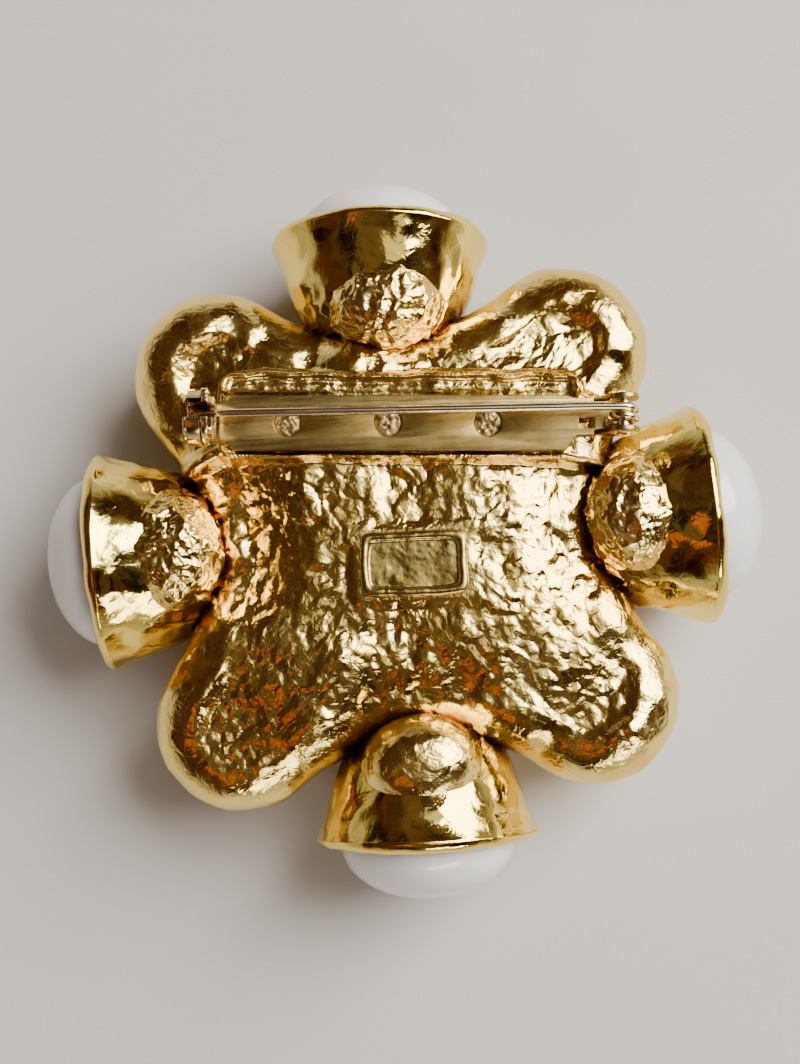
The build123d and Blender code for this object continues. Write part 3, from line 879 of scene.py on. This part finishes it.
class Shader:
    """A Principled material whose nodes are added one call at a time."""

    def __init__(self, name, **sockets):
        self.material = bpy.data.materials.new(name)
        self.material.use_nodes = True
        self.tree = self.material.node_tree
        self.bsdf = self.tree.nodes["Principled BSDF"]
        self.place = self.tree.nodes.new("ShaderNodeTexCoord").outputs["Object"]
        for socket, value in sockets.items():
            self.bsdf.inputs[socket.replace("_", " ")].default_value = value

    def link(self, source, target):
        self.tree.links.new(source, target)

    def noise(self, size_mm, detail=3.0, distortion=0.0, place=None):
        """Noise whose lumps are about a size across."""
        node = self.tree.nodes.new("ShaderNodeTexNoise")
        node.inputs["Scale"].default_value = 1 / (size_mm * MM)
        node.inputs["Detail"].default_value = detail
        node.inputs["Distortion"].default_value = distortion
        self.link(self.place if place is None else place, node.inputs["Vector"])
        return node.outputs["Fac"]

    def grain(self, size_mm, stretch, turn):
        """Noise drawn out along one direction, as brushed or drawn metal has."""
        mapping = self.tree.nodes.new("ShaderNodeMapping")
        mapping.inputs["Rotation"].default_value = (0, 0, math.radians(turn))
        mapping.inputs["Scale"].default_value = stretch
        self.link(self.place, mapping.inputs["Vector"])
        return self.noise(size_mm, place=mapping.outputs["Vector"])

    def ramp(self, source, stops):
        """Colours along a source from 0 to 1; a third stop may lie between the first two."""
        node = self.tree.nodes.new("ShaderNodeValToRGB")
        for index, (position, colour) in enumerate(stops):
            if index < 2:
                element = node.color_ramp.elements[index]
                element.position = position
            else:
                element = node.color_ramp.elements.new(position)
            element.color = (*colour, 1)
        self.link(source, node.inputs["Fac"])
        return node.outputs["Color"]

    def between(self, source, low, high, from_low=0.35, from_high=0.65):
        """A source stretched to run between two values."""
        return stretched(self.tree, source, low, high, from_low, from_high)

    def bump(self, source, depth_mm, under=None):
        """Small relief from a source, laid on any relief given before."""
        node = self.tree.nodes.new("ShaderNodeBump")
        node.inputs["Distance"].default_value = depth_mm * MM
        node.inputs["Strength"].default_value = 1.0
        self.link(source, node.inputs["Height"])
        if under is not None:
            self.link(under, node.inputs["Normal"])
        return node.outputs["Normal"]

    def painted_hollow_shade(self, source, reach_mm, dark):
        """A colour darkened with painted shade where the surface is shut in."""
        shut_in = self.tree.nodes.new("ShaderNodeAmbientOcclusion")
        shut_in.samples = 6
        shut_in.inputs["Distance"].default_value = reach_mm * MM
        shade = self.ramp(shut_in.outputs["AO"], [(0.3, dark), (0.78, (1, 1, 1))])
        mix = self.tree.nodes.new("ShaderNodeMix")
        mix.data_type = "RGBA"
        mix.blend_type = "MULTIPLY"
        mix.inputs["Factor"].default_value = 1
        self.link(source, mix.inputs["A"])
        self.link(shade, mix.inputs["B"])
        return mix.outputs["Result"]

    def colour(self, source):
        self.link(source, self.bsdf.inputs["Base Color"])

    def roughness(self, source):
        self.link(source, self.bsdf.inputs["Roughness"])

    def normal(self, source):
        self.link(source, self.bsdf.inputs["Normal"])


# Painted shade for the gilt: the dark brown laid into hollows and creases, and how far in
# millimetres the occlusion looks for them
HOLLOW_SHADE_BROWN = (0.23, 0.13, 0.04)
HOLLOW_SHADE_REACH = 2.4


def gilt(name, pale, deep, smooth, rough, pit):
    """Gold plate over a casting: tone shifts, painted shade in its hollows, worn satin patches and
    fine pitting.
    """
    shader = Shader(name, Metallic=1.0, IOR=1.5)
    tone = shader.ramp(shader.noise(7.0, 4), [(0.3, deep), (0.7, pale)])
    # Painted shade: the tone is darkened towards brown in hollows and creases by ambient occlusion
    shader.colour(shader.painted_hollow_shade(tone, HOLLOW_SHADE_REACH, HOLLOW_SHADE_BROWN))
    shader.roughness(shader.between(shader.noise(2.6, 5, 0.4), smooth, rough))
    coarse = shader.bump(shader.noise(0.9, 3, 0.8), 0.10 * pit)
    shader.normal(shader.bump(shader.noise(0.2, 3), 0.012 * pit, under=coarse))
    return shader.material


def satin(name, pale, deep, smooth, rough, turn):
    """Stamped strip: drawn lines along its length and slight tarnish."""
    shader = Shader(name, Metallic=1.0, IOR=1.5)
    shader.colour(shader.ramp(shader.noise(3.5, 4, 0.5), [(0.3, deep), (0.7, pale)]))
    lines = shader.grain(0.35, (0.06, 1, 1), turn)
    shader.roughness(shader.between(lines, smooth, rough, 0.3, 0.7))
    shader.normal(shader.bump(lines, 0.002, under=shader.bump(shader.noise(2.6, 2), 0.03)))
    return shader.material


def nacre(name):
    """Pearl coating: soft cream with faint cool and rosy clouds under a clear coat."""
    shader = Shader(
        name, Metallic=0.0, IOR=1.55, Coat_Weight=0.6, Coat_Roughness=0.08, Subsurface_Weight=0.15,
        Subsurface_Scale=0.003,
    )
    clouds = shader.ramp(
        shader.noise(6.0, 3, 0.8),
        [(0.25, (0.72, 0.73, 0.78)), (0.75, (0.85, 0.78, 0.71)), (0.5, (0.82, 0.80, 0.76))],
    )
    shader.colour(clouds)
    shader.roughness(shader.between(shader.noise(1.2, 3), 0.16, 0.27))
    shader.normal(shader.bump(shader.noise(0.5, 2), 0.006))
    return shader.material


def dull(name, pale, deep, metallic):
    """Solder or cement: uneven, matte and pitted."""
    shader = Shader(name, Metallic=metallic, IOR=1.5)
    shader.colour(shader.ramp(shader.noise(0.7, 4), [(0.35, deep), (0.65, pale)]))
    shader.roughness(shader.between(shader.noise(0.5, 3), 0.3, 0.6))
    shader.normal(shader.bump(shader.noise(0.3, 3), 0.05))
    return shader.material


def paper_floor():
    """Plain pale floor with the faintest mottling."""
    shader = Shader("pale_floor", Roughness=0.85, Specular_IOR_Level=0.2)
    mottling = [(0.3, (0.60, 0.57, 0.53)), (0.7, (0.64, 0.61, 0.57))]
    shader.colour(shader.ramp(shader.noise(40.0, 3), mottling))
    return shader.material


# ---------------------------------------------------------------- assembly


def dress(obj, material, nodes, body="brooch"):
    """Give a piece its material, its body and the nodes it stands for."""
    obj.data.materials.clear()
    obj.data.materials.append(material)
    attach(obj, body)
    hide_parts(*nodes)
    return obj


cast_gilt = gilt("cast_gilt", (1.0, 0.77, 0.24), (0.93, 0.61, 0.13), 0.10, 0.22, 1.0)
cup_gilt = gilt("cup_gilt", (1.0, 0.78, 0.20), (0.93, 0.64, 0.12), 0.05, 0.15, 0.35)
boss_gilt = gilt("boss_gilt", (1.0, 0.77, 0.26), (0.92, 0.62, 0.14), 0.12, 0.24, 1.0)
plate_gilt = gilt("plate_gilt", (0.56, 0.43, 0.14), (0.40, 0.28, 0.07), 0.16, 0.28, 0.4)
bar_satin = satin("bar_satin", (0.46, 0.34, 0.12), (0.30, 0.21, 0.06), 0.22, 0.34, FINDING_SKEW)
curl_satin = satin("curl_satin", (0.80, 0.62, 0.30), (0.60, 0.42, 0.17), 0.12, 0.24, 90)
sleeve_gilt = gilt("sleeve_gilt", (1.0, 0.80, 0.48), (0.95, 0.70, 0.36), 0.08, 0.16, 0.2)
wire_polish = satin("wire_polish", (0.95, 0.82, 0.55), (0.88, 0.70, 0.40), 0.1, 0.2, FINDING_SKEW)
solder_dull = dull("solder_dull", (0.62, 0.46, 0.20), (0.30, 0.20, 0.07), 1.0)
cement_dull = dull("cement_dull", (0.80, 0.77, 0.70), (0.66, 0.62, 0.54), 0.0)
pearl_nacre = nacre("pearl_nacre")

dress(body_back(), cast_gilt, ["back_shell"])
dress(body_front(), cast_gilt, ["front_shell"])
for number, side_name in enumerate(SIDES):
    dress(cup(side_name, 100 + 20 * number), cup_gilt, [f"cup_{side_name}"])
    dress(boss(side_name, 300 + 20 * number), boss_gilt, [f"cup_boss_{side_name}"])
    dress(pearl(side_name, 500 + 20 * number), pearl_nacre, [f"pearl_{side_name}"])
    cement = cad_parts[f"pearl_cement_{side_name}"]
    for index in range(len(cement.material_slots)):
        cement.material_slots[index].material = cement_dull
dress(blank_plate(), plate_gilt, ["mark_plate"])
dress(bar(), bar_satin, ["pin_bar"])
dress(solder(), solder_dull, ["bar_solder"])
dress(rivet(), wire_polish, ["hinge_rivet"])
dress(stem(), wire_polish, ["pin_stem"], "stem")
dress(curl(), curl_satin, ["catch_curl"])
dress(sleeve(), sleeve_gilt, ["catch_sleeve"], "sleeve")

# ---------------------------------------------------------------- floor, light and camera

corners = [(x * FLOOR_HALF, y * FLOOR_HALF, 0) for x, y in ((-1, -1), (1, -1), (1, 1), (-1, 1))]
floor = finish_mesh("floor", corners, [(0, 1, 2, 3)])
floor.data.materials.append(paper_floor())


def softbox(name, place, size, power, colour):
    """A rectangular lamp, placed and sized in millimetres and turned towards the brooch."""
    lamp = bpy.data.lights.new(name, "AREA")
    lamp.shape = "RECTANGLE"
    lamp.size, lamp.size_y = size[0] * MM, size[1] * MM
    lamp.energy = power
    lamp.color = colour
    obj = linked(name, lamp)
    obj.location = Vector(place) * MM
    obj.rotation_euler = (-Vector(place)).to_track_quat("-Z", "Y").to_euler()


softbox("window", (410, 190, 470), (460, 540), 10.0, (1.0, 0.98, 0.95))
softbox("ceiling", (180, 80, 620), (400, 360), 0.42, (1.0, 0.98, 0.95))
softbox("front_strip", (120, -460, 220), (300, 90), 0.8, (1.0, 0.96, 0.9))
softbox("warm_card", (-170, -210, 340), (130, 130), 0.025, (1.0, 0.24, 0.05))

# The room by the height of the view: pale at the horizon, brown above it, dim overhead
SKY = (
    (0.0, (0.60, 0.58, 0.55)),
    (1.0, (0.10, 0.07, 0.053)),
    (0.07, (0.56, 0.54, 0.51)),
    (0.26, (0.17, 0.12, 0.08)),
    (0.40, (0.052, 0.012, 0.005)),
)

world = bpy.data.worlds.new("studio")
bpy.context.scene.world = world
world.use_nodes = True
tree = world.node_tree
background = tree.nodes["Background"]
coords = tree.nodes.new("ShaderNodeTexCoord")
split = tree.nodes.new("ShaderNodeSeparateXYZ")
sky = tree.nodes.new("ShaderNodeValToRGB")
tree.links.new(coords.outputs["Generated"], split.inputs["Vector"])
tree.links.new(split.outputs["Z"], sky.inputs["Fac"])
tree.links.new(sky.outputs["Color"], background.inputs["Color"])
stops = sky.color_ramp.elements
for stop, (position, colour) in zip(stops, SKY[:2]):
    stop.position = position
    stop.color = (*colour, 1)
for position, colour in SKY[2:]:
    stops.new(position).color = (*colour, 1)

# Broad light and dark patches, for the metal to reflect, that fade out towards the horizon
room = tree.nodes.new("ShaderNodeTexNoise")
room.inputs["Scale"].default_value = 2.3
room.inputs["Detail"].default_value = 2.0
tree.links.new(coords.outputs["Generated"], room.inputs["Vector"])
patches = stretched(tree, room.outputs["Fac"], 0.12, 1.5, 0.42, 0.60)
horizon = stretched(tree, split.outputs["Z"], 1.0, 0.0, 0.10, 0.32)
even = tree.nodes.new("ShaderNodeMix")
even.inputs["B"].default_value = 1.0
tree.links.new(horizon, even.inputs["Factor"])
tree.links.new(patches, even.inputs["A"])
tree.links.new(even.outputs["Result"], background.inputs["Strength"])

# The camera looks down on the back from a little to the south, turned with the brooch askew
CAMERA_PLACE = Vector((0.8, -15.1, 163.0))
CAMERA_TARGET = Vector((-0.34, 0.53, 10.2))
CAMERA_ROLL = 4.5
LENS = 73.9
look = (CAMERA_TARGET - CAMERA_PLACE).normalized()
right = look.cross(Vector((0, 1, 0))).normalized()
upright = right.cross(look)
roll = math.radians(CAMERA_ROLL)
right_rolled = right * math.cos(roll) - upright * math.sin(roll)
up_rolled = right * math.sin(roll) + upright * math.cos(roll)
camera_data = bpy.data.cameras.new("camera")
camera_data.sensor_fit = "HORIZONTAL"
camera_data.sensor_width = 36
camera_data.lens = LENS
camera_data.clip_start = 0.005
camera = linked("camera", camera_data)
axes = Matrix([(right_rolled[i], up_rolled[i], -look[i]) for i in range(3)])
camera.matrix_world = Matrix.Translation(CAMERA_PLACE * MM) @ axes.to_4x4()
bpy.context.scene.camera = camera
